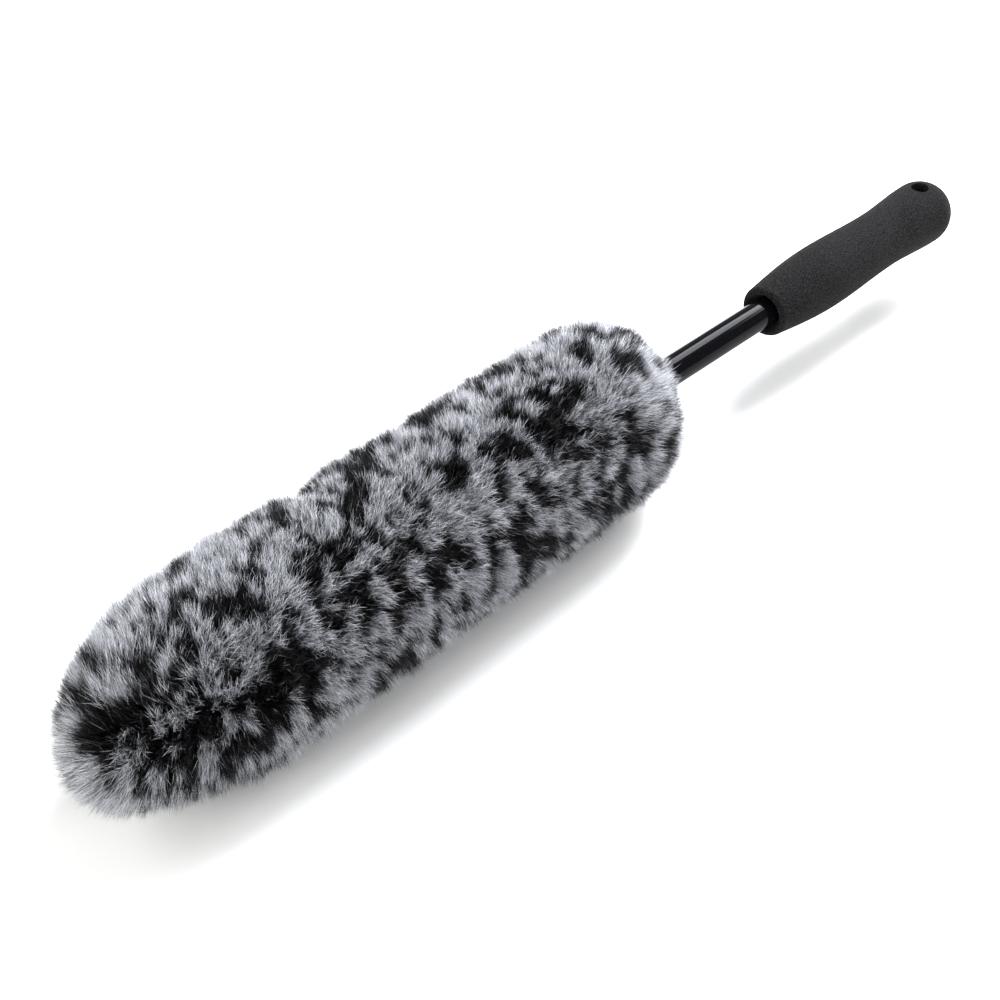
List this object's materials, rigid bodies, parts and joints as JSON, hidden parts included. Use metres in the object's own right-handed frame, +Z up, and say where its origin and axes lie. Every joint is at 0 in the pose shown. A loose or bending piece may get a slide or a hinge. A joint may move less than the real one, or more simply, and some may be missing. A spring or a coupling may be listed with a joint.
{
  "type": "wheel brush",
  "caption": "Long wheel brush with a mottled black and grey plush head, a gloss black tubular shaft and a contoured foam grip with a hanging hole.",
  "frame": {"origin": "on the resting plane, under the middle of the bounding box", "axes": "+X along the shaft towards the grip, +Z up, the head resting on its flattened pile"},
  "size_m": [0.5, 0.077, 0.0745],
  "materials": {
    "tube_paint": "gloss",
    "plastic_black": "satin",
    "pin_steel": "satin",
    "grip_foam": "matte",
    "core_foam": "matte",
    "backing_knit": "matte",
    "thread": "matte",
    "pile": "matte"
  },
  "bodies": {
    "root": {"shaft_tube": "tube_paint", "front_plug": "plastic_black", "rear_plug": "plastic_black", "grip": "grip_foam", "core_foam": "core_foam", "nose_pad": "core_foam", "front_disc": "plastic_black", "rear_collar": "plastic_black", "retaining_pins": "pin_steel", "sleeve": "backing_knit", "nose_cover": "backing_knit", "nose_seam": "thread", "side_seam": "thread", "neck_tie": "plastic_black", "pile_body": "pile", "pile_nose": "pile", "pile_neck": "pile"}
  },
  "joints": []
}
